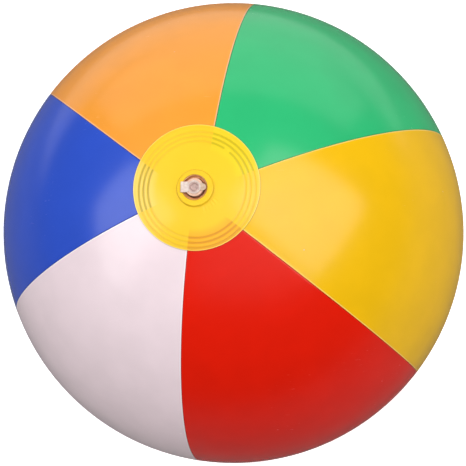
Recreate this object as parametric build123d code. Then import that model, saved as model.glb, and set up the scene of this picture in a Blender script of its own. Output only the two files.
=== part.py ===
from build123d import *
from math import cos, radians, sin, sqrt
import os

# Inflatable beach ball of six welded film gores, with a push-in valve. Millimetres, +Z up.
# The origin is the ball's centre, and the valve's axis is +Z.

# Ball and film
ball_radius = 130.0        # outside of the gores, inflated
film = 0.25                # thickness of the PVC sheet
gore_hole_radius = 21.0    # where the gores are cut off, round both poles
disc_radius = 30.1         # cover disc, measured square to the valve's axis
disc_slip = (0.1, 1.0)     # the valve's disc is welded on this far off the valve's axis

# Gores, counter-clockwise from above, each starting at its own seam
gores = ["green", "orange", "blue", "white", "red", "yellow"]
under_gores = ["green", "blue", "red"]         # these run on under both neighbours
seam_step = 360.0 / len(gores)
first_seam = 23.3                              # azimuth of the seam where the first gore starts
seam_miss = [3.0, 4.5, -5.0, 0.0, 0.0, 2.0]    # how far each welded seam passes clockwise of the pole
lap = 3.5                                      # width of the weld under the upper film
lap_root = 1.0                                 # where the tongue of film leaves its own gore

# Valve heights, above the ball's surface at the pole
collar_height = 0.9
strap_low = 1.2            # underside of the strap's lower leg
strap_thick = 0.48
strap_gap = 0.04           # between the folded strap's two legs
mouth_height = 1.65        # top of the stem
flange_depth = 1.35        # underside of the flange, below the surface
base_depth = 8.6           # where the web meets the stem's foot

# Valve radii
hole_radius = 5.6          # in the flange
disc_hole_radius = 5.95    # in the film over it
collar_radius = 8.4
flange_radius = 12.5
web_wall = 0.45
stem_radius = 4.0
lip_radius = 4.3
lip_height = 0.7
bore_radius = 2.88
foot_radius = 4.6
foot_thick = 0.7
web_foot_radius = 4.05     # the web's inside, where it meets the foot

# Strap, plug and tab
strap_width = 5.0
fold_reach = 5.95          # from the valve's axis to the strap's fold
hinge_play = 0.03
head_radius = 3.2          # ring of the strap round the plug
plug_neck_radius = 2.45
plug_radius = 2.8
plug_tip_radius = 1.85
plug_straight = 0.6        # length of full width below the strap's fold
plug_depth = 3.9           # tip, below the strap's fold
cup_radius = 2.0           # hollow in the plug's head
cup_floor_radius = 1.7
cup_depth = 1.7
gate_mark_radius = 0.45
gate_mark_height = 0.25
tab_root = 2.1             # half width of the tab at the plug's head
tab_shoulder = (4.3, 1.7)  # where it starts to taper, and its half width there
tab_end = 0.6              # half width at its end
tab_reach = 5.6

# Flap under the stem
flap_radius = 3.7
flap_thick = 0.3
flap_gap = 0.05
flap_hinge_reach = 4.2
flap_tail_width = 3.0

surface = ball_radius
fold_height = surface + strap_low + strap_thick + strap_gap / 2
leg_low = surface + strap_low
leg_top = leg_low + strap_thick
strap_under = leg_top + strap_gap
strap_top = strap_under + strap_thick
fold_radius = (strap_top - leg_low) / 2
foot_top = surface - base_depth
foot_bottom = foot_top - foot_thick
plug_tip = fold_height - plug_depth


def on_sphere(radius, reach):
    """The point of a profile that lies on a sphere, at this distance from the axis."""
    return (reach, sqrt(radius ** 2 - reach ** 2))


def sphere_arc(radius, start, end):
    """A profile's arc on a sphere about the origin, between two distances from the axis."""
    middle = on_sphere(radius, (start + end) / 2)
    return ThreePointArc(on_sphere(radius, start), middle, on_sphere(radius, end))


def turned(*lines):
    """The solid that a closed profile in the X-Z plane makes about the valve's axis."""
    return revolve(Plane.XZ * make_face(lines), Axis.Z)


def disc_from(radius, low, high):
    return Pos(0, 0, (low + high) / 2) * Cylinder(radius, high - low)


def film_zone(outside):
    """A layer of film all round the ball, open at both poles."""
    return Sphere(outside) - Sphere(outside - film) - Cylinder(gore_hole_radius, 3 * ball_radius)


def seam_normal(index):
    """The normal of a seam's plane, which points counter-clockwise. Each plane holds the ball's centre."""
    turn = radians(first_seam + seam_step * index)
    lean = seam_miss[index % len(gores)] / ball_radius
    return Vector(-sin(turn) * cos(lean), cos(turn) * cos(lean), sin(lean))


def beyond(shape, normal, distance=0.0):
    """What lies further along the normal than the distance."""
    return split(shape, bisect_by=Plane(origin=normal * distance, z_dir=normal), keep=Keep.TOP)


def tongue(index, low, high):
    """The strip of film under a seam, between two distances from the seam's plane."""
    turn = radians(first_seam + seam_step * index)
    outward = Vector(cos(turn), sin(turn), 0)
    normal = seam_normal(index)
    half = beyond(film_zone(ball_radius - film), outward)
    return beyond(beyond(half, normal, low), normal * -1, -high)


def panel(index):
    gore = beyond(film_zone(ball_radius), seam_normal(index))
    gore = beyond(gore, seam_normal(index + 1) * -1)
    if gores[index] in under_gores:
        gore = gore + tongue(index, -lap, lap_root) + tongue(index + 1, -lap_root, lap)
    return gore


def valve_disc():
    """The cover disc with the valve's hole. It is raised over the collar."""
    blank = disc_radius + max(disc_slip) + 1
    skirt = collar_radius + film
    under = surface + collar_height
    over = under + film
    sheet = turned(
        Polyline((disc_hole_radius, under), (disc_hole_radius, over), (skirt, over)),
        Line((skirt, over), on_sphere(surface + film, skirt)),
        sphere_arc(surface + film, skirt, blank),
        Line(on_sphere(surface + film, blank), on_sphere(surface, blank)),
        sphere_arc(surface, blank, collar_radius),
        Polyline(on_sphere(surface, collar_radius), (collar_radius, under), (disc_hole_radius, under)),
    )
    return sheet & Pos(*disc_slip) * Cylinder(disc_radius, 3 * ball_radius)


def base_disc():
    cap = Sphere(ball_radius + film) - Sphere(ball_radius)
    return cap & Pos(0, 0, -ball_radius) * Cylinder(disc_radius, ball_radius)


def valve_flange():
    """The ring welded under the disc. Its raised inner part is the collar."""
    under = surface - flange_depth
    over = surface + collar_height
    return turned(
        Polyline(on_sphere(surface, collar_radius), (collar_radius, over), (hole_radius, over)),
        Polyline((hole_radius, over), (hole_radius, under), (flange_radius, under)),
        Line((flange_radius, under), on_sphere(surface, flange_radius)),
        sphere_arc(surface, flange_radius, collar_radius),
    )


def valve_web():
    """The thin cone that folds over as the stem is pushed in or pulled out."""
    top = surface - flange_depth
    return turned(
        Polyline(
            (hole_radius, top),
            (hole_radius + web_wall, top),
            (web_foot_radius + web_wall, foot_top),
            (web_foot_radius, foot_top),
            (hole_radius, top),
        )
    )


def valve_stem():
    mouth = surface + mouth_height
    tube = disc_from(stem_radius, foot_bottom, mouth)
    lip = disc_from(lip_radius, mouth - lip_height, mouth)
    foot = disc_from(foot_radius, foot_bottom, foot_top)
    return tube + lip + foot - disc_from(bore_radius, foot_bottom, mouth)


def strap_root():
    """The strap's lower leg, from the stem's lip to the fold."""
    leg = Pos(-fold_reach / 2, 0, (leg_low + leg_top) / 2) * Box(fold_reach, strap_width, strap_thick)
    fold = Pos(-fold_reach, 0, fold_height) * Rot(90, 0, 0) * Cylinder(fold_radius, strap_width)
    return leg + fold - disc_from(lip_radius, leg_low - 1, leg_top + 1)


def plug_strap():
    """The strap's upper leg, and its ring round the plug."""
    leg = Pos(-fold_reach / 2, 0, (strap_under + strap_top) / 2) * Box(fold_reach, strap_width, strap_thick)
    room = Rot(90, 0, 0) * Cylinder(fold_radius + hinge_play, 2 * strap_width)
    room = Pos(-fold_reach, 0, fold_height) * room
    ring = disc_from(head_radius, strap_under, strap_top)
    return leg + ring - room - disc_from(plug_neck_radius, strap_under, strap_top)


def plug():
    """The hollow stopper. It narrows downwards, so that it can swing out of the stem."""
    straight = fold_height - plug_straight
    floor = strap_top - cup_depth
    mark = floor + gate_mark_height
    return turned(
        Polyline(
            (0, plug_tip),
            (plug_tip_radius, plug_tip),
            (plug_radius, straight),
            (plug_radius, strap_under),
            (plug_neck_radius, strap_under),
            (plug_neck_radius, strap_top),
            (cup_radius, strap_top),
            (cup_floor_radius, floor),
            (gate_mark_radius, floor),
            (gate_mark_radius, mark),
            (0, mark),
            (0, plug_tip),
        )
    )


def pull_tab():
    side = [(0, tab_root), tab_shoulder, (tab_reach, tab_end)]
    edge = Polyline(*side, *[(x, -y) for x, y in reversed(side)], side[0])
    tab = Pos(0, 0, strap_under) * extrude(make_face(edge), strap_thick)
    return tab - disc_from(head_radius, strap_under - 1, strap_top + 1)


def check_flap():
    top = foot_bottom - flap_gap
    bottom = top - flap_thick
    tail = Box(flap_hinge_reach, flap_tail_width, flap_thick)
    tail = Pos(flap_hinge_reach / 2, 0, (top + bottom) / 2) * tail
    return disc_from(flap_radius, bottom, top) + tail


os.makedirs("parts", exist_ok=True)
for index, colour in enumerate(gores):
    export_step(panel(index), f"parts/panel_{colour}.step")
for make in (valve_disc, base_disc, valve_flange, valve_web, valve_stem, strap_root, plug_strap, plug,
             pull_tab, check_flap):
    export_step(make(), f"parts/{make.__name__}.step")
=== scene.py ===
from math import atan2, cos, degrees, hypot, pi, radians, sin, sqrt

import bpy
from mathutils import Matrix, Vector


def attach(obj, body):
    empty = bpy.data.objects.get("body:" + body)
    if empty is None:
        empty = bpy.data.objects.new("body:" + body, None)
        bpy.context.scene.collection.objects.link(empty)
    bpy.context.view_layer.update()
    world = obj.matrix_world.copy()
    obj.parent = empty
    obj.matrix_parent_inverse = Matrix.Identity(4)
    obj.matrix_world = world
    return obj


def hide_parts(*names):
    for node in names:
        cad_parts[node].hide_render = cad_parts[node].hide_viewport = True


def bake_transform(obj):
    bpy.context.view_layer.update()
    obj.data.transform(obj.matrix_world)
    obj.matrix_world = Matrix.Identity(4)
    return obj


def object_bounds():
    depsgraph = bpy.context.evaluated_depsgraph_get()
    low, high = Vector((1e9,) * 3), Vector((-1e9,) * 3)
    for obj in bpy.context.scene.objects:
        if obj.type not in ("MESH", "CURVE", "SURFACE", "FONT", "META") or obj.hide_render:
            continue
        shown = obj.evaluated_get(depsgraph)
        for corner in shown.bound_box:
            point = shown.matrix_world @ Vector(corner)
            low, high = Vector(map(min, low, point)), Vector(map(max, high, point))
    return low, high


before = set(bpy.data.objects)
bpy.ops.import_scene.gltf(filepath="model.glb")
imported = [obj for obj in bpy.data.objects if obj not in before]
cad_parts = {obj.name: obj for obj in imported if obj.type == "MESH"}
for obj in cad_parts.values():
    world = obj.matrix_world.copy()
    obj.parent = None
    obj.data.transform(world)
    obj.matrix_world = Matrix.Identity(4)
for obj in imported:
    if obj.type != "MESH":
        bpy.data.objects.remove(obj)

# Inflated beach ball: six welded gore films, two cover discs and a push-in valve. Metres, +Z up the valve.

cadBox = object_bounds()
print("frame loaded")


# Small helpers for modelling

def nameIt(piece, name):
    piece.name = name
    piece.data.name = name


def pick(active, *others):
    bpy.ops.object.select_all(action="DESELECT")
    for piece in (active, *others):
        piece.select_set(True)
    bpy.context.view_layer.objects.active = active


def join(piece, *others):
    pick(piece, *others)
    bpy.ops.object.join()


def edit():
    bpy.ops.object.mode_set(mode="EDIT")
    bpy.ops.mesh.select_mode(type="VERT")
    bpy.ops.mesh.select_all(action="SELECT")


def drawLine(name, points):
    # Starts a piece as one loose point at the ball's centre, and draws the point out into a line
    bpy.ops.object.select_all(action="DESELECT")
    bpy.ops.mesh.primitive_plane_add(size=0.001)
    piece = bpy.context.object
    nameIt(piece, name)
    edit()
    bpy.ops.mesh.merge(type="CENTER")
    bpy.ops.transform.translate(value=points[0])
    for before, after in zip(points, points[1:]):
        step = tuple(end - start for start, end in zip(before, after))
        bpy.ops.mesh.extrude_vertices_move(TRANSFORM_OT_translate={"value": step})
    bpy.ops.mesh.select_all(action="SELECT")
    return piece


def tidyMesh(gap=0.000004):
    bpy.ops.mesh.select_all(action="SELECT")
    bpy.ops.mesh.remove_doubles(threshold=gap)
    bpy.ops.mesh.normals_make_consistent(inside=False)
    bpy.ops.object.mode_set(mode="OBJECT")


def lathe(name, points, steps=96):
    # A line of (reach, height) turned about the valve's axis
    piece = drawLine(name, [(reach, 0, height) for reach, height in points])
    bpy.ops.mesh.spin(steps=steps, angle=2 * pi, center=(0, 0, 0), axis=(0, 0, 1))
    tidyMesh()
    return piece


def fillAndExtrude(step, gap=0.000004):
    # Fills the outline that was just drawn, and gives it a depth
    bpy.ops.mesh.remove_doubles(threshold=gap)
    bpy.ops.mesh.edge_face_add()
    bpy.ops.mesh.extrude_region_move(TRANSFORM_OT_translate={"value": step})
    bpy.ops.mesh.select_all(action="SELECT")


def raiseOutline(name, points, height, depth):
    # A flat outline at a height, raised by the depth
    piece = drawLine(name, [(x, y, height) for x, y in points + points[:1]])
    fillAndExtrude((0, 0, depth))
    tidyMesh()
    return piece


def widenOutline(name, points, width):
    # An outline in the X-Z plane, widened evenly to both sides
    piece = drawLine(name, [(x, 0, z) for x, z in points + points[:1]])
    fillAndExtrude((0, width, 0))
    bpy.ops.transform.translate(value=(0, -width / 2, 0))
    tidyMesh()
    return piece


def applyModifier(piece, kind, **settings):
    pick(piece)
    modifier = piece.modifiers.new(kind.lower(), kind)
    for name, value in settings.items():
        setattr(modifier, name, value)
    bpy.ops.object.modifier_apply(modifier=modifier.name)


def smooth(piece, angle=40):
    pick(piece)
    bpy.ops.object.shade_smooth_by_angle(angle=radians(angle))


def roundEdges(piece, width, segments=3, angle=40):
    applyModifier(piece, "BEVEL", width=width, segments=segments, limit_method="ANGLE",
                  angle_limit=radians(angle))
    smooth(piece, 50)


def ramp(value, low, high):
    # 0 below low, 1 above high, smooth between
    t = min(1.0, max(0.0, (value - low) / (high - low)))
    return t * t * (3 - 2 * t)


def wear(piece, material):
    piece.data.materials.clear()
    piece.data.materials.append(material)


def dress(piece, material, body, slot, *nodes):
    wear(piece, material)
    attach(piece, body)
    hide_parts(*nodes)


# What every part of the ball is measured from

ball = {"radius": 0.130, "film": 0.00025, "holeReach": 0.021}

gores = {
    "colours": ["green", "orange", "blue", "white", "red", "yellow"],
    "under": ["green", "blue", "red"],     # these run on under both neighbours
    "firstSeam": 23.3,
    "step": 60.0,
    "miss": [0.0030, 0.0045, -0.0050, 0.0, 0.0, 0.0020],    # each seam passes the pole by this much
    "lap": 0.0035,
    "segments": 180,
    "rings": 90,
    "lines": [0.00012, 0.00025, 0.0004, 0.0006, 0.0009],    # extra rows of points beside each seam
    "merge": 0.00003,                   # points nearer than this become one
    "weldGap": 0.00002,                 # between the two films of a weld
    "dip": 0.0005,                      # over this length an under film drops below its neighbour
    "bead": 0.00003,                    # height of an upper film's raised edge
    "beadStart": (-0.0001, 0.00025),    # where the bead rises and falls again, from the seam
    "beadEnd": (0.0004, 0.0009),
}
goreCount = len(gores["colours"])

disc = {
    "radius": 0.0301,
    "slip": (0.0001, 0.0010),        # the valve's disc is welded on off the valve's axis
    "ringCentre": (0.0005, -0.0003),
    "firstRing": 0.0230,
    "ringStep": 0.0023,
    "ringWidth": 0.0012,
    "ringDepth": 0.00009,
    "ringSlope": (0.0001, 0.0006),   # from the middle of a ring to its foot
    "breakAzimuth": 53,              # where the first ring is missing
    "breakHalf": (3.0, 4.5),
    "hole": 0.00595,                 # in the film
    "rimHole": 0.0056,               # in the ring under it
    "collar": 0.0084,
    "collarCentre": (0.0004, -0.0004),
    "collarHeight": 0.0009,
    "collarSlope": (-0.0001, 0.0007),
    "slipFrom": 0.012,               # between these reaches the film takes up its slip
    "slipTo": 0.0215,
    "roll": 0.00008,                 # the film's edge turns down into the hole
    "rollWidth": 0.0005,
    "steps": 240,
}
disc["rings"] = [disc["firstRing"] + disc["ringStep"] * turn for turn in range(3)]


def seamNormal(index):
    # Points counter-clockwise. Every seam's plane holds the ball's centre
    turn = radians(gores["firstSeam"] + gores["step"] * index)
    lean = gores["miss"][index % goreCount] / ball["radius"]
    return Vector((-sin(turn) * cos(lean), cos(turn) * cos(lean), sin(lean)))


# Materials

def newGroup(name, inputs, outputs):
    group = bpy.data.node_groups.new(name, "ShaderNodeTree")
    for label, kind, value in inputs:
        socket = group.interface.new_socket(name=label, in_out="INPUT", socket_type=kind)
        socket.default_value = value
    for label in outputs:
        group.interface.new_socket(name=label, in_out="OUTPUT", socket_type="NodeSocketFloat")
    return group, group.nodes.new("NodeGroupInput"), group.nodes.new("NodeGroupOutput")


def feed(tree, socket, value):
    if isinstance(value, bpy.types.NodeSocket):
        tree.links.new(value, socket)
    else:
        socket.default_value = value


def calc(tree, operation, *values, clamp=False):
    node = tree.nodes.new("ShaderNodeMath")
    node.operation = operation
    node.use_clamp = clamp
    for socket, value in zip(node.inputs, values):
        feed(tree, socket, value)
    return node.outputs[0]


def vector(tree, operation, *values):
    node = tree.nodes.new("ShaderNodeVectorMath")
    node.operation = operation
    for socket, value in zip(node.inputs, values):
        feed(tree, socket, value)
    return node.outputs["Value" if operation in ("DOT_PRODUCT", "LENGTH", "DISTANCE") else "Vector"]


def fade(tree, value, low, high, start=0.0, end=1.0):
    # start below low, end above high, smooth between
    node = tree.nodes.new("ShaderNodeMapRange")
    node.interpolation_type = "SMOOTHSTEP"
    entries = {"Value": value, "From Min": low, "From Max": high, "To Min": start, "To Max": end}
    for label, entry in entries.items():
        feed(tree, node.inputs[label], entry)
    return node.outputs["Result"]


def noise(tree, place, scale, detail=2.0, roughness=0.5):
    node = tree.nodes.new("ShaderNodeTexNoise")
    feed(tree, node.inputs["Vector"], place)
    feed(tree, node.inputs["Scale"], scale)
    node.inputs["Detail"].default_value = detail
    node.inputs["Roughness"].default_value = roughness
    return node.outputs["Fac"]


def blendColour(tree, mask, first, second, mode="MIX"):
    node = tree.nodes.new("ShaderNodeMix")
    node.data_type = "RGBA"
    node.blend_type = mode
    feed(tree, node.inputs["Factor"], mask)
    feed(tree, node.inputs["A"], first)
    feed(tree, node.inputs["B"], second)
    return node.outputs["Result"]


def solid(colour):
    return colour + (1,)


def coat(tree, below, mask, share, colour):
    # Lays a colour over what is below it, where the mask says and no stronger than the share
    return blendColour(tree, calc(tree, "MULTIPLY", mask, share), below, solid(colour))


def objectPlace(tree):
    return tree.nodes.new("ShaderNodeTexCoord").outputs["Object"]


def seamMarksGroup():
    # How near a point is to the seams of its own gore, and a painted shadow on the film round the edge of
    # the cover disc
    group, given, result = newGroup("seamMarks", [
        ("First Normal", "NodeSocketVector", (0, 1, 0)),
        ("Second Normal", "NodeSocketVector", (1, 0, 0)),
        ("Line Width", "NodeSocketFloat", 0.0007),
    ], ["Line", "Disc Painted Shadow"])
    place = objectPlace(group)
    first = vector(group, "DOT_PRODUCT", place, given.outputs["First Normal"])
    second = vector(group, "DOT_PRODUCT", place, given.outputs["Second Normal"])
    near = calc(group, "MINIMUM", first, calc(group, "MULTIPLY", second, -1.0))
    waver = calc(group, "MULTIPLY", calc(group, "SUBTRACT", noise(group, place, 90.0), 0.5), 0.0003)
    near = calc(group, "ADD", near, waver)
    width = given.outputs["Line Width"]
    # seam line, partly the weld's own colour and partly painted highlight and shadow of the lap's step
    line = fade(group, near, calc(group, "MULTIPLY", width, 0.5), width, 1.0, 0.0)
    flat = vector(group, "MULTIPLY", place, (1, 1, 0))
    reach = vector(group, "DISTANCE", flat, (disc["slip"][0], disc["slip"][1], 0))
    # painted shadow, full at the cover disc's edge and fading out beyond it
    paintedShadow = fade(group, reach, disc["radius"], disc["radius"] + 0.0006, 1.0, 0.0)
    group.links.new(line, result.inputs["Line"])
    group.links.new(paintedShadow, result.inputs["Disc Painted Shadow"])
    return group


def filmSurfaceGroup():
    # The calendered sheet: slow waves, fine orange peel, uneven tone and faint scuffs
    group, given, result = newGroup("filmSurface", [
        ("Waves", "NodeSocketFloat", 22.0),
        ("Peel", "NodeSocketFloat", 900.0),
        ("Seed", "NodeSocketFloat", 0.0),
    ], ["Height", "Tone", "Scuff"])
    shift = group.nodes.new("ShaderNodeCombineXYZ")
    for axis in range(3):
        group.links.new(given.outputs["Seed"], shift.inputs[axis])
    place = vector(group, "ADD", objectPlace(group), shift.outputs[0])
    waves = noise(group, place, given.outputs["Waves"], 1.0)
    peel = noise(group, place, given.outputs["Peel"], 3.0, 0.6)
    height = calc(group, "MULTIPLY_ADD", peel, 0.012, waves)
    tone = noise(group, place, 55.0, 2.0)
    scratch = noise(group, vector(group, "MULTIPLY", place, (140.0, 900.0, 260.0)), 1.0, 4.0, 0.7)
    patch = fade(group, noise(group, place, 28.0, 1.0), 0.5, 0.7)
    scuff = calc(group, "MULTIPLY", fade(group, scratch, 0.58, 0.72), patch)
    for label, value in (("Height", height), ("Tone", tone), ("Scuff", scuff)):
        group.links.new(value, result.inputs[label])
    return group


def dustGroup():
    # A few loose grains that the film's static charge holds
    group, given, result = newGroup("dust", [
        ("Cells", "NodeSocketFloat", 120.0),
        ("Share", "NodeSocketFloat", 0.05),
    ], ["Grains"])
    cells = group.nodes.new("ShaderNodeTexVoronoi")
    group.links.new(objectPlace(group), cells.inputs["Vector"])
    group.links.new(given.outputs["Cells"], cells.inputs["Scale"])
    lot = group.nodes.new("ShaderNodeSeparateColor")
    group.links.new(cells.outputs["Color"], lot.inputs[0])
    chosen = calc(group, "LESS_THAN", lot.outputs[0], given.outputs["Share"])
    size = calc(group, "MULTIPLY_ADD", lot.outputs[1], 0.03, 0.025)
    grain = calc(group, "LESS_THAN", cells.outputs["Distance"], size)
    group.links.new(calc(group, "MULTIPLY", chosen, grain), result.inputs["Grains"])
    return group


def weldRingsGroup():
    # Three pressed rings round a centre, and which of the under gores the disc is welded over
    group, given, result = newGroup("weldRings", [
        ("Centre", "NodeSocketVector", (0, 0, 0)),
        ("Width", "NodeSocketFloat", disc["ringWidth"]),
        ("Break", "NodeSocketFloat", 0.0),
    ], ["Rings"] + gores["under"])
    place = objectPlace(group)
    flat = vector(group, "MULTIPLY", place, (1, 1, 0))
    offset = vector(group, "SUBTRACT", flat, given.outputs["Centre"])
    reach = vector(group, "LENGTH", offset)
    parts = group.nodes.new("ShaderNodeSeparateXYZ")
    group.links.new(offset, parts.inputs[0])
    azimuth = calc(group, "ARCTAN2", parts.outputs["Y"], parts.outputs["X"])
    width = given.outputs["Width"]
    inner, outer = calc(group, "MULTIPLY", width, 0.15), calc(group, "MULTIPLY", width, 0.7)
    fromBreak = calc(group, "ABSOLUTE", calc(group, "SUBTRACT", azimuth, radians(disc["breakAzimuth"])))
    near, far = (radians(half) for half in disc["breakHalf"])
    missing = calc(group, "MULTIPLY", given.outputs["Break"], fade(group, fromBreak, near, far, 1.0, 0.0))
    rings = 0.0
    for radius in disc["rings"]:
        gap = calc(group, "ABSOLUTE", calc(group, "SUBTRACT", reach, radius))
        ring = fade(group, gap, inner, outer, 1.0, 0.0)
        if radius == disc["firstRing"]:
            ring = calc(group, "SUBTRACT", ring, missing, clamp=True)
        rings = calc(group, "MAXIMUM", rings, ring)
    group.links.new(rings, result.inputs["Rings"])
    sides = [fade(group, vector(group, "DOT_PRODUCT", place, tuple(seamNormal(index))), -0.0003, 0.0003)
             for index in range(goreCount)]
    overFilm = fade(group, reach, ball["holeReach"] - 0.0030, ball["holeReach"] + 0.0010)
    for colour in gores["under"]:
        index = gores["colours"].index(colour)
        inside = calc(group, "MULTIPLY", sides[index], calc(group, "SUBTRACT", 1.0, sides[index + 1]))
        group.links.new(calc(group, "MULTIPLY", inside, overFilm), result.inputs[colour])
    return group


def mouldedGroup():
    # Soft vinyl as it comes out of a mould: slow sinks, fine grain, cloudy patches
    group, given, result = newGroup("mouldedVinyl", [("Scale", "NodeSocketFloat", 1.0)], ["Height", "Cloud"])
    place = vector(group, "SCALE", objectPlace(group))
    group.links.new(given.outputs["Scale"], place.node.inputs["Scale"])
    sinks = noise(group, place, 420.0, 1.0)
    grain = noise(group, place, 5200.0, 3.0, 0.6)
    group.links.new(calc(group, "MULTIPLY_ADD", grain, 0.06, sinks), result.inputs["Height"])
    group.links.new(fade(group, noise(group, place, 700.0, 2.0), 0.35, 0.7), result.inputs["Cloud"])
    return group


seamMarks = seamMarksGroup()
filmSurface = filmSurfaceGroup()
dust = dustGroup()
weldRings = weldRingsGroup()
mouldedVinyl = mouldedGroup()
print("shader groups made")


def useGroup(tree, group, **values):
    node = tree.nodes.new("ShaderNodeGroup")
    node.node_tree = group
    for label, value in values.items():
        feed(tree, node.inputs[label.replace("_", " ")], value)
    return node.outputs


def newMaterial(name, **plain):
    # plain values go straight on the shader's own sockets
    material = bpy.data.materials.new(name)
    material.use_nodes = True
    shader = material.node_tree.nodes["Principled BSDF"]
    for label, value in plain.items():
        shader.inputs[label.replace("_", " ")].default_value = value
    return material, material.node_tree, shader


def addBump(tree, shader, height, strength, distance):
    bump = tree.nodes.new("ShaderNodeBump")
    bump.inputs["Strength"].default_value = strength
    bump.inputs["Distance"].default_value = distance
    tree.links.new(height, bump.inputs["Height"])
    tree.links.new(bump.outputs["Normal"], shader.inputs["Normal"])


filmFinish = {
    "roughness": 0.2,
    "waveHeight": 0.00016,
    "bump": 0.5,
    "deep": 0.96,            # the darker patches, as a share of the colour
    # Seam lines are partly the weld's own colour and partly painted light: lighter on an upper film as a
    # painted highlight on its edge, darker on an under film as a painted shadow beside the step
    "underLine": 0.0005,     # how wide the line beside a seam is
    "upperLine": 0.0007,
    "lineShare": 0.7,
    # painted shadow on the film round the cover disc
    "paintedShadow": (0.12, 0.06, 0.02),    # round the cover disc
    "paintedShadowShare": 0.35,
    "dust": (0.75, 0.72, 0.68),
    "dustShare": 0.6,
    "green": {"body": (0.03, 0.52, 0.19), "line": (0.01, 0.22, 0.08), "seed": 0.13},
    "orange": {"body": (0.95, 0.36, 0.04), "line": (1.00, 0.56, 0.33), "seed": 0.37},
    "blue": {"body": (0.03, 0.09, 0.60), "line": (0.01, 0.02, 0.18), "seed": 0.59},
    "white": {"body": (0.92, 0.77, 0.83), "line": (1.00, 0.98, 1.00), "seed": 0.71},
    "red": {"body": (0.80, 0.012, 0.002), "line": (0.32, 0.01, 0.005), "seed": 0.83},
    "yellow": {"body": (0.94, 0.54, 0.005), "line": (1.00, 0.70, 0.20), "seed": 0.97},
}


def filmMaterial(index):
    colour = gores["colours"][index]
    finish, look = filmFinish, filmFinish[colour]
    material, tree, shader = newMaterial("film_" + colour, IOR=1.5)
    first, second = tuple(seamNormal(index)), tuple(seamNormal(index + 1))
    width = finish["underLine" if colour in gores["under"] else "upperLine"]
    marks = useGroup(tree, seamMarks, First_Normal=first, Second_Normal=second, Line_Width=width)
    surface = useGroup(tree, filmSurface, Seed=look["seed"])
    grains = useGroup(tree, dust)["Grains"]
    deep = tuple(finish["deep"] * part for part in look["body"])
    patches = fade(tree, surface["Tone"], 0.3, 0.7)
    colourNow = blendColour(tree, patches, solid(deep), solid(look["body"]))
    # seam line: partly the weld's own colour, partly painted highlight and shadow
    colourNow = coat(tree, colourNow, marks["Line"], finish["lineShare"], look["line"])
    # painted shadow round the cover disc
    colourNow = coat(tree, colourNow, marks["Disc Painted Shadow"], finish["paintedShadowShare"], finish["paintedShadow"])
    colourNow = coat(tree, colourNow, grains, finish["dustShare"], finish["dust"])
    tree.links.new(colourNow, shader.inputs["Base Color"])
    rough = calc(tree, "MULTIPLY_ADD", surface["Scuff"], 0.12, finish["roughness"])
    tree.links.new(calc(tree, "MULTIPLY_ADD", grains, 0.5, rough, clamp=True), shader.inputs["Roughness"])
    addBump(tree, shader, surface["Height"], finish["bump"], finish["waveHeight"])
    return material


discFinish = {
    "roughness": 0.2,
    "film": (0.98, 0.63, 0.03),
    "ring": (0.88, 0.54, 0.02),
    "ringShare": 0.8,
    # painted highlight along the disc's cut edge
    "paintedEdgeHighlight": (0.99, 0.80, 0.20),
    "paintedEdgeHighlightShare": 0.8,
    "edgeLine": 0.0011,         # in from the cut edge
    "edgeLineShare": 0.35,
    # painted shade in the crease round the collar
    "paintedCreaseShade": (0.68, 0.42, 0.01),
    "paintedCreaseShadeShare": 0.35,
    "holeEdge": (0.34, 0.17, 0.01),
    "holeShare": 0.75,
    # Where it covers these gores
    "green": {"between": (0.93, 0.68, 0.03), "ring": (0.66, 0.50, 0.01)},
    "blue": {"between": (0.97, 0.66, 0.09), "ring": (0.58, 0.40, 0.03)},
    "red": {"between": (0.98, 0.50, 0.03), "ring": (0.80, 0.33, 0.01)},
}


def lineAt(tree, distance, where, inner, outer, strength=1.0):
    # A soft line where the distance has this value
    gap = calc(tree, "ABSOLUTE", calc(tree, "SUBTRACT", distance, where))
    return fade(tree, gap, inner, outer, strength, 0.0)


def collarMarks(tree, colourNow, flat):
    # Painted shade in the crease round the collar, and a darker edge at the hole
    look = discFinish
    fromCollar = vector(tree, "DISTANCE", flat, disc["collarCentre"] + (0,))
    # painted shade in the collar's crease
    paintedCreaseShade = lineAt(tree, fromCollar, disc["collar"] + 0.0002, 0.0001, 0.0006, look["paintedCreaseShadeShare"])
    colourNow = blendColour(tree, paintedCreaseShade, colourNow, solid(look["paintedCreaseShade"]))
    fromAxis = vector(tree, "LENGTH", flat)
    holeEdge = fade(tree, fromAxis, disc["hole"] + 0.0001, disc["hole"] + 0.0004, look["holeShare"], 0.0)
    return blendColour(tree, holeEdge, colourNow, solid(look["holeEdge"]))


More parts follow.
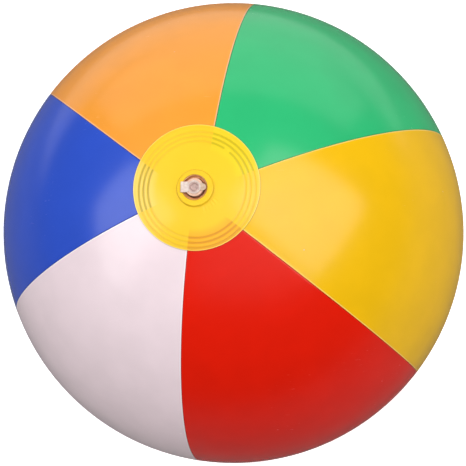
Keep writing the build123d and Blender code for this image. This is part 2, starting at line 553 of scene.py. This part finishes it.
def discMaterial(name, slip, ringCentre, collar, broken):
    look = discFinish
    material, tree, shader = newMaterial(name, IOR=1.5)
    marks = useGroup(tree, weldRings, Centre=ringCentre + (0,), Break=broken)
    surface = useGroup(tree, filmSurface, Seed=0.21, Peel=1100.0)
    flat = vector(tree, "MULTIPLY", objectPlace(tree), (1, 1, 0))
    reach = vector(tree, "DISTANCE", flat, slip + (0,))
    # painted highlight along the cut edge
    paintedEdgeHighlight = fade(tree, reach, disc["radius"] - 0.0004, disc["radius"] - 0.00015)
    edgeLine = lineAt(tree, reach, disc["radius"] - look["edgeLine"], 0.0001, 0.0003)
    colourNow = coat(tree, solid(look["film"]), marks["Rings"], look["ringShare"], look["ring"])
    for colour in gores["under"]:
        between, ring = solid(look[colour]["between"]), solid(look[colour]["ring"])
        tint = blendColour(tree, marks["Rings"], between, ring)
        colourNow = blendColour(tree, marks[colour], colourNow, tint)
    colourNow = coat(tree, colourNow, edgeLine, look["edgeLineShare"], look["ring"])
    if collar:
        colourNow = collarMarks(tree, colourNow, flat)
    # painted highlight along the cut edge
    colourNow = coat(tree, colourNow, paintedEdgeHighlight, look["paintedEdgeHighlightShare"], look["paintedEdgeHighlight"])
    tone = fade(tree, surface["Tone"], 0.3, 0.7, filmFinish["deep"], 1.0)
    colourNow = blendColour(tree, 1.0, colourNow, tone, mode="MULTIPLY")
    tree.links.new(colourNow, shader.inputs["Base Color"])
    rough = calc(tree, "MULTIPLY_ADD", marks["Rings"], 0.1, look["roughness"])
    tree.links.new(calc(tree, "MULTIPLY_ADD", surface["Scuff"], 0.1, rough), shader.inputs["Roughness"])
    addBump(tree, shader, surface["Height"], filmFinish["bump"], filmFinish["waveHeight"])
    return material


vinylFinish = {
    "grainHeight": 0.00003,
    "bump": 0.5,
    "dust": (0.4, 0.3, 0.25),
    "dustShare": 0.5,
    "strap": {"body": (0.86, 0.70, 0.64), "cloud": (0.96, 0.84, 0.78), "alpha": 0.78, "roughness": 0.22},
    "tab": {"body": (0.64, 0.47, 0.34), "cloud": (0.78, 0.60, 0.46), "alpha": 0.9, "roughness": 0.25},
    "plug": {"body": (0.55, 0.40, 0.37), "cloud": (0.68, 0.50, 0.45), "alpha": 1.0, "roughness": 0.25},
    "stem": {"body": (0.90, 0.58, 0.43), "cloud": (0.96, 0.66, 0.50), "alpha": 0.9, "roughness": 0.22},
    # Flange and web are the same clear vinyl as the stem; their copper-brown is painted light and shade:
    # orange light through the yellow film against the dark inside of the ball
    "paintedLightWell": {"body": (0.62, 0.26, 0.10), "cloud": (0.76, 0.38, 0.18), "alpha": 1.0, "roughness": 0.3},
}


def vinylMaterial(name):
    finish, look = vinylFinish, vinylFinish[name]
    material, tree, shader = newMaterial("vinyl_" + name, IOR=1.53, Alpha=look["alpha"])
    surface = useGroup(tree, mouldedVinyl)
    grains = useGroup(tree, dust, Cells=900.0, Share=0.02)["Grains"]
    colourNow = blendColour(tree, surface["Cloud"], solid(look["body"]), solid(look["cloud"]))
    colourNow = coat(tree, colourNow, grains, finish["dustShare"], finish["dust"])
    tree.links.new(colourNow, shader.inputs["Base Color"])
    rough = calc(tree, "MULTIPLY_ADD", surface["Cloud"], 0.08, look["roughness"])
    tree.links.new(rough, shader.inputs["Roughness"])
    addBump(tree, shader, surface["Height"], finish["bump"], finish["grainHeight"])
    return material


# Gore films

def cut(normal, distance, keep=None):
    bpy.ops.mesh.select_all(action="SELECT")
    bpy.ops.mesh.bisect(plane_co=normal * distance, plane_no=normal,
                        clear_inner=keep == "beyond", clear_outer=keep == "before")


def weldRelief(near, under):
    # How far the film stands off the sphere, by its distance from the nearest seam
    if under:
        return -(ball["film"] + gores["weldGap"]) * (1 - ramp(near, 0, gores["dip"]))
    return gores["bead"] * ramp(near, *gores["beadStart"]) * (1 - ramp(near, *gores["beadEnd"]))


def makeGore(index):
    colour = gores["colours"][index]
    under = colour in gores["under"]
    first, second = seamNormal(index), seamNormal(index + 1)
    overhang = gores["lap"] if under else 0
    bpy.ops.object.select_all(action="DESELECT")
    bpy.ops.mesh.primitive_uv_sphere_add(segments=gores["segments"], ring_count=gores["rings"],
                                         radius=ball["radius"])
    piece = bpy.context.object
    nameIt(piece, "film_" + colour)
    edit()
    cut(first, -overhang, keep="beyond")
    cut(second, overhang, keep="before")
    height = sqrt(ball["radius"] ** 2 - ball["holeReach"] ** 2)
    cut(Vector((0, 0, 1)), -height, keep="beyond")
    cut(Vector((0, 0, 1)), height, keep="before")
    for line in gores["lines"]:
        cut(first, line)
        cut(second, -line)
    if under:
        cut(first, 0)
        cut(second, 0)
    tidyMesh(gores["merge"])
    for vertex in piece.data.vertices:
        near = min(vertex.co.dot(first), -vertex.co.dot(second))
        vertex.co = vertex.co.normalized() * (ball["radius"] + weldRelief(near, under))
    applyModifier(piece, "SOLIDIFY", thickness=ball["film"], offset=-1)
    smooth(piece)
    dress(piece, filmMaterial(index), "ball", colour + "_film", "panel_" + colour)


for index in range(goreCount):
    makeGore(index)
print("gore films made")


# Cover discs

def ringRelief(x, y, centre):
    reach = hypot(x - centre[0], y - centre[1])
    depth = 0
    for radius in disc["rings"]:
        depth = max(depth, 1 - ramp(abs(reach - radius), *disc["ringSlope"]))
    return -disc["ringDepth"] * depth


# From, to and step of the rows of points, outwards from the middle
valveDiscRows = [
    (disc["hole"], disc["collar"] - 0.0005, 0.0003),
    (disc["collar"] - 0.0004, disc["collar"] + 0.0011, 0.0001),
    (disc["collar"] + 0.0014, 0.0206, 0.0004),
    (0.0209, disc["radius"], 0.0003),
]
baseDiscRows = [(0, 0.0206, 0.0010), (0.0209, disc["radius"], 0.0003)]


def flatSheet(name, rows):
    # A flat round sheet, to be shaped point by point
    line = []
    for start, end, step in rows:
        count = round((end - start) / step)
        line += [(start + (end - start) * part / count, 0.001) for part in range(count + 1)]
    return lathe(name, line, disc["steps"])


valvePuckers = {
    "from": 0.0090, "to": 0.0138, "rise": 0.0012, "fall": 0.003,
    "height": 0.00010, "count": 42, "twist": 700,
    "sectors": [(-45.0, 32.0, 1.0), (52.0, 28.0, 0.4)],    # middle azimuth, half width, share
}


def puckers(x, y):
    # Small radial folds where the film is drawn round the collar
    reach = hypot(x, y)
    azimuth = degrees(atan2(y, x))
    start, end = valvePuckers["from"], valvePuckers["to"]
    share = sum(part * (1 - ramp(abs(azimuth - middle), 0.4 * half, half))
                for middle, half, part in valvePuckers["sectors"])
    rise = ramp(reach, start, start + valvePuckers["rise"])
    fall = 1 - ramp(reach, end - valvePuckers["fall"], end)
    wave = sin(radians(azimuth) * valvePuckers["count"] + valvePuckers["twist"] * reach)
    uneven = 0.6 + 0.4 * sin(radians(azimuth) * 11 + 2)
    return valvePuckers["height"] * share * rise * fall * wave * uneven


def makeValveDisc():
    outside = ball["radius"] + ball["film"]
    collar, hole = disc["collar"], disc["hole"]
    low, high = disc["collarSlope"]
    piece = flatSheet("film_valveDisc", valveDiscRows)
    for vertex in piece.data.vertices:
        spread = ramp(hypot(vertex.co.x, vertex.co.y), disc["slipFrom"], disc["slipTo"])
        x, y = vertex.co.x + spread * disc["slip"][0], vertex.co.y + spread * disc["slip"][1]
        reach = hypot(x, y)
        dome = sqrt(outside ** 2 - reach ** 2)
        fromCollar = hypot(x - disc["collarCentre"][0] / 2, y - disc["collarCentre"][1] / 2)
        raised = 1 - ramp(fromCollar, collar + low, collar + high)
        rolled = -disc["roll"] * (1 - ramp(reach, hole, hole + disc["rollWidth"]))
        height = dome + raised * (disc["collarHeight"] + outside - dome) + rolled
        vertex.co = (x, y, height + ringRelief(x, y, disc["ringCentre"]) + puckers(x, y))
    edit()
    tidyMesh()
    applyModifier(piece, "SOLIDIFY", thickness=ball["film"], offset=-1)
    smooth(piece)
    material = discMaterial("film_disc", disc["slip"], disc["ringCentre"], collar=True, broken=1.0)
    dress(piece, material, "ball", "disc_film", "valve_disc")


def makeBaseDisc():
    outside = ball["radius"] + ball["film"]
    piece = flatSheet("film_baseDisc", baseDiscRows)
    for vertex in piece.data.vertices:
        x, y = vertex.co.x, vertex.co.y
        vertex.co.z = -sqrt(outside ** 2 - x * x - y * y) - ringRelief(x, y, (0, 0))
    edit()
    tidyMesh()
    lowest = min(piece.data.polygons, key=lambda face: face.center.z)
    if lowest.normal.z > 0:
        edit()
        bpy.ops.mesh.flip_normals()
        bpy.ops.object.mode_set(mode="OBJECT")
    applyModifier(piece, "SOLIDIFY", thickness=ball["film"], offset=-1)
    smooth(piece)
    material = discMaterial("film_disc_base", (0, 0), (0, 0), collar=False, broken=0.0)
    dress(piece, material, "ball", "disc_film", "base_disc")


makeValveDisc()
makeBaseDisc()
print("cover discs made")


# Valve. Heights are from the ball's surface at the pole, and edges are rounded in three points

top = ball["radius"]
cornerShare = 0.3    # where the middle point of a rounded edge lies

flange = {"reach": 0.0125, "depth": 0.00135, "edge": 0.0002, "filmGap": 0.00003}


def makeFlange(material):
    # The ring under the disc. Its raised inner part is the collar
    edge, inset = flange["edge"], cornerShare * flange["edge"]
    hole, rim, reach = disc["rimHole"], disc["collar"] - ball["film"], flange["reach"]
    low, high = top - flange["depth"], top + disc["collarHeight"] - 0.00002
    reaches = (rim + edge / 2, (rim + reach) / 2, reach - edge)
    shoulder = [(place, sqrt(top ** 2 - place ** 2) - flange["filmGap"]) for place in reaches]
    piece = lathe("valve_flangeRing", [
        (hole, low), (hole, high - edge), (hole + inset, high - inset), (hole + edge, high),
        (rim - edge, high), (rim - edge / 4, high - inset), (rim, high - edge), *shoulder,
        (reach, shoulder[-1][1] - edge), (reach, low + 0.00015), (reach - 0.00015, low), (hole, low)], 120)
    smooth(piece)
    dress(piece, material, "ball", "valve_vinyl", "valve_flange")


web = {
    "wall": 0.00035, "foldRows": 10, "coneRows": 20, "foot": 0.00478,
    "crestReach": 0.00528, "crest": -0.0009, "crestLean": 0.0003,
    "leanAway": 45,    # the high side is this far clockwise of +X
}


def makeWeb(material):
    # Rolls over a low crest beside the hole, higher on one side, then runs down outside the stem's foot
    crest, foot, rows = web["crestReach"], web["foot"], web["coneRows"]
    high, low, ridge = top - flange["depth"], top + stem["footTop"], top + web["crest"]
    half = disc["rimHole"] + web["wall"] / 2 - crest
    turns = [pi * part / web["foldRows"] for part in range(web["foldRows"] + 1)]
    fold = [(crest + half * cos(turn), high + (ridge - high) * sin(turn)) for turn in turns]
    inner, end = crest - half, low - stem["footThick"] / 2
    steps = [part / rows for part in range(1, rows + 1)]
    cone = [(inner + (foot - inner) * step, high + (end - high) * step) for step in steps]
    piece = lathe("valve_foldingWeb", fold + cone)
    for vertex in piece.data.vertices:
        raised = ramp(vertex.co.z, high, ridge)
        azimuth = atan2(vertex.co.y, vertex.co.x)
        vertex.co.z += raised * web["crestLean"] * cos(azimuth + radians(web["leanAway"]))
    applyModifier(piece, "SOLIDIFY", thickness=web["wall"], offset=0)
    smooth(piece)
    wear(piece, material)
    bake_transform(piece)
    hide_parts("valve_web")


stem = {
    "reach": 0.0040, "bore": 0.00288, "mouth": 0.00165, "lipReach": 0.0043, "lipHeight": 0.0007,
    "footReach": 0.0046, "footTop": -0.0086, "footThick": 0.0007,
    "edge": 0.0003, "footEdge": 0.00012, "fillet": 0.0001,
}
footBottom = top + stem["footTop"] - stem["footThick"]


def makeStem(material):
    bore, reach, lip, foot = stem["bore"], stem["reach"], stem["lipReach"], stem["footReach"]
    mouth, footTop = top + stem["mouth"], top + stem["footTop"]
    lipLow = mouth - stem["lipHeight"]
    footEdge, fillet = stem["footEdge"], stem["fillet"]
    edge, inset = stem["edge"], cornerShare * stem["edge"]
    piece = lathe("valve_stemTube", [
        (bore, footBottom), (foot - edge / 2, footBottom), (foot, footBottom + edge / 2),
        (foot, footTop - footEdge), (foot - footEdge, footTop), (reach + fillet, footTop),
        (reach, footTop + fillet), (reach, lipLow - fillet), (reach + fillet, lipLow),
        (lip - fillet, lipLow + 0.00003), (lip, lipLow + edge / 2),
        (lip, mouth - edge), (lip - inset, mouth - inset), (lip - edge, mouth),
        (bore + edge, mouth), (bore + inset, mouth - inset), (bore, mouth - edge), (bore, footBottom)])
    smooth(piece)
    dress(piece, material, "stem", "valve_vinyl", "valve_stem")


# The strap is folded in two. Its lower leg goes with the stem, and the upper one with the plug
strap = {
    "legLow": 0.0012, "thick": 0.00048, "gap": 0.00004, "width": 0.0050, "fold": 0.00595, "play": 0.00003,
    "headReach": 0.0032, "bite": 0.0002, "edge": 0.00010,
}
foldHeight = top + strap["legLow"] + strap["thick"] + strap["gap"] / 2
foldRadius = strap["thick"] + strap["gap"] / 2
lowerTop = foldHeight - strap["gap"] / 2
upperLow = foldHeight + strap["gap"] / 2
upperTop = upperLow + strap["thick"]


def makeStrapRoot(material):
    # Lower leg of the strap and its fold, which the upper leg turns round
    start, fold, low = -stem["lipReach"] + strap["bite"], -strap["fold"], top + strap["legLow"]
    turns = [pi * part / 16 for part in range(17)]
    bend = [(fold - foldRadius * sin(turn), foldHeight - foldRadius * cos(turn)) for turn in turns]
    back = [(fold + foldRadius * sin(turn), foldHeight + foldRadius * cos(turn)) for turn in turns[1:8]]
    outline = [(start, low)] + bend + back + [(fold + foldRadius, lowerTop), (start, lowerTop)]
    piece = widenOutline("valve_strapRoot", outline, strap["width"])
    roundEdges(piece, strap["edge"])
    dress(piece, material, "stem", "valve_vinyl", "strap_root")


def makePlugStrap(material):
    # Ring round the plug's head and the upper leg, joined
    neck, reach = stopper["neck"] + 0.00002, strap["headReach"]
    low, high, edge = upperLow, upperTop, strap["edge"]
    ring = lathe("valve_plugStrap", [
        (neck, low), (reach - edge, low), (reach, low + edge), (reach, high - 0.00014),
        (reach - 0.00014, high), (neck + 0.00008, high), (neck, high - 0.00008), (neck, low)])
    smooth(ring)
    room, end = foldRadius + strap["play"], -neck - 0.0003
    hollow = []
    for part in range(7):
        height = low + (high - low) * part / 6
        away = sqrt(max(0, room ** 2 - (height - foldHeight) ** 2))
        hollow.append((away - strap["fold"], height))
    leg = widenOutline("leg", hollow + [(end, high), (end, low)], strap["width"])
    roundEdges(leg, edge)
    join(ring, leg)
    dress(ring, material, "plug", "valve_vinyl", "plug_strap")


stopper = {
    "neck": 0.00245, "reach": 0.0028, "straight": 0.0006, "tip": 0.00185, "depth": 0.0039,
    "cup": 0.0020, "cupFloor": 0.0017, "cupDepth": 0.0017, "mark": 0.00045, "markHeight": 0.00025,
}


def makePlug(material):
    # Hollow stopper, with a gate mark on the floor of its cup
    neck, reach, tip = stopper["neck"], stopper["reach"], stopper["tip"]
    cup, cupFloor, mark = stopper["cup"], stopper["cupFloor"], stopper["mark"]
    low, straight = foldHeight - stopper["depth"], foldHeight - stopper["straight"]
    floor = upperTop - stopper["cupDepth"]
    markTop = floor + stopper["markHeight"]
    piece = lathe("valve_plugBody", [
        (0, low), (tip - 0.0003, low), (tip - 0.00009, low + 0.00009), (tip + 0.00005, low + 0.0003),
        (reach - 0.00003, straight - 0.0002), (reach, straight), (reach, upperLow - 0.00008),
        (reach - 0.00008, upperLow), (neck, upperLow), (neck, upperTop - 0.00012), (neck - 0.0001, upperTop),
        (cup + 0.0001, upperTop), (cup, upperTop - 0.0001), (cupFloor + 0.00005, floor + 0.0004),
        (cupFloor - 0.0001, floor + 0.00012), (cupFloor - 0.0004, floor), (mark, floor),
        (mark - 0.00003, markTop - 0.00005), (mark - 0.00015, markTop), (0, markTop)])
    smooth(piece)
    dress(piece, material, "plug", "valve_vinyl", "plug")


tab = {
    "root": 0.0021, "shoulder": 0.0043, "wide": 0.0017, "end": 0.0013, "reach": 0.0056, "tip": 0.0006,
    "bite": 0.0006, "lower": 0.00006, "edge": 0.00011,
    "ribs": [0.0039, 0.0044, 0.0049], "ribThick": 0.00018, "ribTall": 0.00012, "ribShort": 0.0009,
}


def tabHalf(place):
    # Half width of the tab at a distance from the valve's axis
    root, wide, end, shoulder = tab["root"], tab["wide"], tab["end"], tab["shoulder"]
    if place < shoulder:
        return root + (wide - root) * place / shoulder
    return wide + (end - wide) * (place - shoulder) / (tab["reach"] - tab["tip"] - shoulder)


def makeTab(material):
    # Tapered tab with grip ribs across it
    end, tip, shoulder = tab["end"], tab["tip"], tab["shoulder"]
    start, tipStart = strap["headReach"] - tab["bite"], tab["reach"] - tab["tip"]
    places = (start, shoulder - 0.0003, shoulder, shoulder + 0.0002)
    side = [(place, -tabHalf(place)) for place in places]
    turns = [pi * part / 12 for part in range(13)]
    rounded = [(tipStart + tip * sin(turn), -end * cos(turn)) for turn in turns]
    outline = side + rounded + [(x, -y) for x, y in side[::-1]]
    piece = raiseOutline("valve_pullTab", outline, upperLow, strap["thick"] - tab["lower"])
    roundEdges(piece, tab["edge"])
    ribs = []
    for place in tab["ribs"]:
        size = (tab["ribThick"], 2 * tabHalf(place) - tab["ribShort"], tab["ribTall"])
        bpy.ops.object.select_all(action="DESELECT")
        bpy.ops.mesh.primitive_cube_add(size=1, location=(place, 0, upperTop - tab["lower"]), scale=size)
        rib = bpy.context.object
        bpy.ops.object.transform_apply(location=True, rotation=True, scale=True)
        roundEdges(rib, 0.00005, 2)
        ribs.append(rib)
    join(piece, *ribs)
    dress(piece, material, "plug", "valve_vinyl", "pull_tab")


flap = {
    "reach": 0.0037, "thick": 0.0003, "gap": 0.00005, "hinge": 0.0042, "tail": 0.0030, "tailEnd": 0.0020,
    "edge": 0.00006,
}


def makeFlap(material):
    # Round check flap that hangs on its tail under the stem
    reach, hinge, thick = flap["reach"], flap["hinge"], flap["thick"]
    half, end = flap["tail"] / 2, flap["tailEnd"] / 2
    start = atan2(half, sqrt(reach ** 2 - half ** 2))
    turns = [start + (2 * pi - 2 * start) * part / 48 for part in range(49)]
    edge = [(reach * cos(turn), reach * sin(turn)) for turn in turns]
    low = footBottom - flap["gap"] - thick
    piece = raiseOutline("valve_checkFlap", [(hinge, end)] + edge + [(hinge, -end)], low, thick)
    roundEdges(piece, flap["edge"], 2)
    dress(piece, material, "flap", "valve_vinyl", "check_flap")


strapVinyl = vinylMaterial("strap")
# copper-brown painted light and shade for the flange and web
paintedLightWellVinyl = vinylMaterial("paintedLightWell")
makeFlange(paintedLightWellVinyl)
makeWeb(paintedLightWellVinyl)
makeStem(vinylMaterial("stem"))
makeStrapRoot(strapVinyl)
makePlugStrap(strapVinyl)
makePlug(vinylMaterial("plug"))
makeTab(vinylMaterial("tab"))
makeFlap(strapVinyl)
print("valve made")


# Studio

studio = {
    "floor": 12.0,
    "floorGap": 0.00002,
    "floorGlow": 0.6,      # for the camera only, so that the floor comes out white
    "floorPale": 0.9,
    "floorSheen": 0.15,    # what the ball's gloss shows of it
    "room": 0.85,          # behind the floor, for the camera
    "world": 0.16,         # for diffuse light only, and warm
    "warm": (1, 0.92, 0.84),
    "view": (0.14, -0.16, 0.977),
    "distance": 0.65,
    "lens": 87.1,
    "shift": -0.0011,
}


def makeFloor():
    bpy.ops.object.select_all(action="DESELECT")
    bpy.ops.mesh.primitive_plane_add(size=studio["floor"], location=(0, 0, cadBox[0].z - studio["floorGap"]))
    floor = bpy.context.object
    nameIt(floor, "floor")
    material, tree, shader = newMaterial("floor", Roughness=0.6)
    shader.inputs["Emission Color"].default_value = (1, 1, 1, 1)
    path = tree.nodes.new("ShaderNodeLightPath").outputs
    pale, dim = (solid((studio[name],) * 3) for name in ("floorPale", "floorSheen"))
    tree.links.new(blendColour(tree, path["Is Glossy Ray"], pale, dim), shader.inputs["Base Color"])
    glow = calc(tree, "MULTIPLY", path["Is Camera Ray"], studio["floorGlow"])
    tree.links.new(glow, shader.inputs["Emission Strength"])
    floor.data.materials.append(material)


def makeCamera():
    view = Vector(studio["view"]).normalized()
    up = view.cross(Vector((1, 0, 0))).normalized()
    side = up.cross(view)
    camera = bpy.data.cameras.new("camera")
    camera.lens = studio["lens"]
    camera.shift_x = studio["shift"]
    holder = bpy.data.objects.new("camera", camera)
    bpy.context.scene.collection.objects.link(holder)
    turn = Matrix((side, up, view)).transposed().to_4x4()
    holder.matrix_world = Matrix.Translation(view * studio["distance"]) @ turn
    bpy.context.scene.camera = holder
    return side, up, view


# Place and aim are to the camera's right, up and back. An unseen lamp leaves no reflection
lamps = {
    "right": {"place": (0.65, 0.35, 1.20), "aim": (-0.1, 0.35, 0.2), "roll": 50,
              "size": (1.0, 1.35), "glow": 2.25, "seen": True},
    "left": {"place": (-0.95, 0.20, 0.70), "aim": (-0.9, 0.40, 0.0), "roll": 45,
             "size": (0.75, 1.05), "glow": 2.4, "seen": True},
    "top": {"place": (0.0, 1.40, 0.10), "aim": (0, 0, 0), "roll": 0,
            "size": (3.0, 1.0), "glow": 0.8, "seen": True},
    "sweep": {"place": (-0.35, 0.85, -0.30), "aim": (-0.49, 1.01, 0.68), "roll": 0,
              "size": (2.2, 1.1), "glow": 0.5, "seen": True},    # the lit floor behind the ball
    "front": {"place": (0.1, -0.1, 1.40), "aim": (0, 0, 0), "roll": 0,
              "size": (1.2, 1.2), "glow": 1.8, "seen": False},
    "fill": {"place": (-0.9, 0.9, 0.80), "aim": (0, 0, 0), "roll": 0,
             "size": (1.0, 1.0), "glow": 0.9, "seen": False},
}


def makeLamp(name, side, up, view):
    lamp = lamps[name]
    light = bpy.data.lights.new(name, "AREA")
    light.shape = "RECTANGLE"
    light.size, light.size_y = lamp["size"]
    light.energy = lamp["glow"] * pi * light.size * light.size_y
    holder = bpy.data.objects.new(name, light)
    bpy.context.scene.collection.objects.link(holder)
    place, aim = (side * way[0] + up * way[1] + view * way[2] for way in (lamp["place"], lamp["aim"]))
    back = (place - aim).normalized()
    across = up.cross(back).normalized()
    roll = Matrix.Rotation(radians(lamp["roll"]), 3, "Z")
    turn = Matrix((across, back.cross(across), back)).transposed() @ roll
    holder.matrix_world = Matrix.Translation(place) @ turn.to_4x4()
    holder.visible_glossy = lamp["seen"]
    holder.visible_camera = False


def makeWorld():
    # The camera sees a pale room, diffuse light comes from a dim warm one, and gloss shows none
    world = bpy.data.worlds.new("studio")
    world.use_nodes = True
    bpy.context.scene.world = world
    tree = world.node_tree
    background = tree.nodes["Background"]
    path = tree.nodes.new("ShaderNodeLightPath")
    dim = calc(tree, "MULTIPLY", path.outputs["Is Diffuse Ray"], studio["world"])
    pale = calc(tree, "MULTIPLY", path.outputs["Is Camera Ray"], studio["room"])
    strength = calc(tree, "ADD", pale, dim)
    tree.links.new(strength, background.inputs["Strength"])
    room = blendColour(tree, path.outputs["Is Camera Ray"], solid(studio["warm"]), (1, 1, 1, 1))
    tree.links.new(room, background.inputs["Color"])


makeFloor()
axes = makeCamera()
for name in lamps:
    makeLamp(name, *axes)
makeWorld()
bpy.context.scene.view_settings.view_transform = "Standard"
print("studio made")
